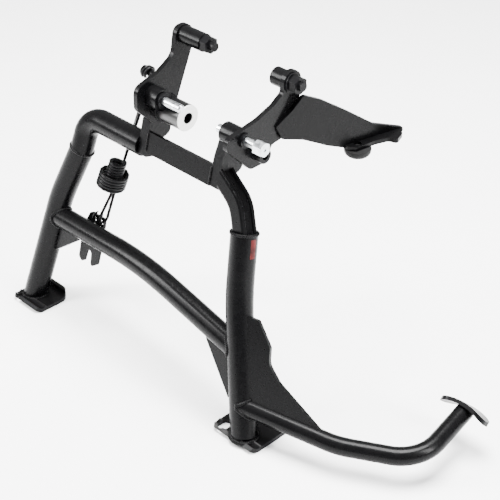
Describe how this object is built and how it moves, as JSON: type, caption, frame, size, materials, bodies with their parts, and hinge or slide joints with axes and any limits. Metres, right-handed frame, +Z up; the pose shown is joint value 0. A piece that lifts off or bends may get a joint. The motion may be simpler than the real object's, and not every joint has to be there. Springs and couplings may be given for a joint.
{
  "type": "motorcycle_centre_stand",
  "caption": "Black steel centre stand for a motorcycle: two splayed legs, cross tube and foot pedal hung on a pair of frame brackets with nested return springs and a rubber stop.",
  "frame": {"origin": "centre of the bare end face of the left pivot boss, on the pivot axis", "axes": "+X along the pivot axis towards the bike's left, where the pedal is; +Y towards the rear of the bike; +Z up with the stand deployed"},
  "size_m": [0.5885, 0.2955, 0.385],
  "materials": {
    "black_coat": "semi-gloss black powder coat",
    "zinc": "bright zinc plate",
    "bare_steel": "turned bare steel end face, black paint on the outside",
    "black_bolt": "satin black oxide",
    "spring_wire": "oiled dark spring wire",
    "rubber": "matte black rubber"
  },
  "bodies": {
    "brackets": {"left_bracket_plate": "black_coat", "left_pivot_boss": "bare_steel", "left_pivot_bolt": "black_bolt", "left_frame_spacer": "black_coat", "left_spacer_ring": "black_bolt", "left_frame_bolt": "zinc", "left_upper_spacer": "black_coat", "left_upper_bolt": "black_bolt", "left_upper_nut": "black_bolt", "spring_post": "black_coat", "right_bracket_plate": "black_coat", "stop_arm": "black_coat", "rubber_stop": "rubber", "right_pivot_bolt": "black_bolt", "right_frame_spacer": "black_coat", "right_bolt_collar": "black_bolt", "right_frame_bolt": "zinc", "right_upper_spacer": "black_coat", "right_upper_washer": "black_bolt", "right_upper_bolt": "black_bolt", "right_upper_nut": "black_bolt", "outer_spring": "spring_wire", "inner_spring": "spring_wire"},
    "stand": {"left_lug": "black_coat", "right_lug": "black_coat", "right_pivot_sleeve": "black_coat", "crossbar": "black_coat", "left_shoulder": "black_coat", "right_shoulder": "black_coat", "left_leg": "black_coat", "right_leg": "black_coat", "cross_tube": "black_coat", "left_gusset": "black_coat", "right_gusset": "black_coat", "pedal_gusset": "black_coat", "pedal_tube": "black_coat", "pedal_pad": "black_coat", "left_foot": "black_coat", "right_foot": "black_coat", "spring_hook": "black_coat"}
  },
  "joints": [
    {"name": "stand_swing", "type": "hinge", "parent": "brackets", "child": "stand", "pos_m": [0, 0, 0], "axis": [1, 0, 0], "range_deg": [0, 80], "deforming": ["outer_spring", "inner_spring"]}
  ]
}
